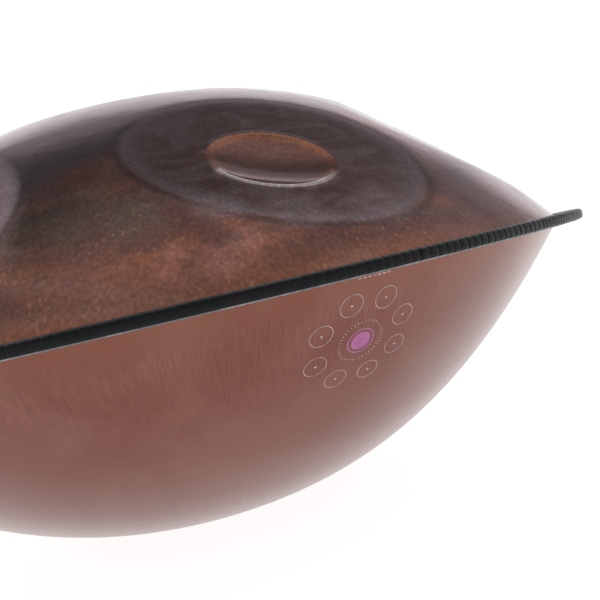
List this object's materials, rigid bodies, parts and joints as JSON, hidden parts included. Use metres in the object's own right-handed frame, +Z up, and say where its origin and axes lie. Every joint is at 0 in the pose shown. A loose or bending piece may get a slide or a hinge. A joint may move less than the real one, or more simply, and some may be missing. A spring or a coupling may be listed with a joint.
{
  "type": "handpan",
  "caption": "Handpan of two domed steel shells glued at a flange, with sunken dimpled notes round a raised centre note, a port below and a rubber edge trim.",
  "frame": {"origin": "centre of the flat resting ring round the port, on the floor, on the handpan's axis", "axes": "+Z up along the axis of symmetry towards the playing side; -Y towards the lowest outer note, which sits 18.5 degrees from it towards +X"},
  "size_m": [0.5299, 0.53, 0.262],
  "materials": {
    "patina_steel": "satin, heat coloured brown with orange and blue-grey patches",
    "brown_steel": "satin, heat coloured reddish brown, finely brushed",
    "glue": "cured structural adhesive",
    "trim_rubber": "semi-gloss black, finely ribbed",
    "carrier_steel": "plain strip"
  },
  "bodies": {
    "root": {"top_shell": "patina_steel", "bottom_shell": "brown_steel", "glue_bond": "glue", "trim_jacket": "trim_rubber", "trim_core": "carrier_steel"}
  },
  "joints": []
}
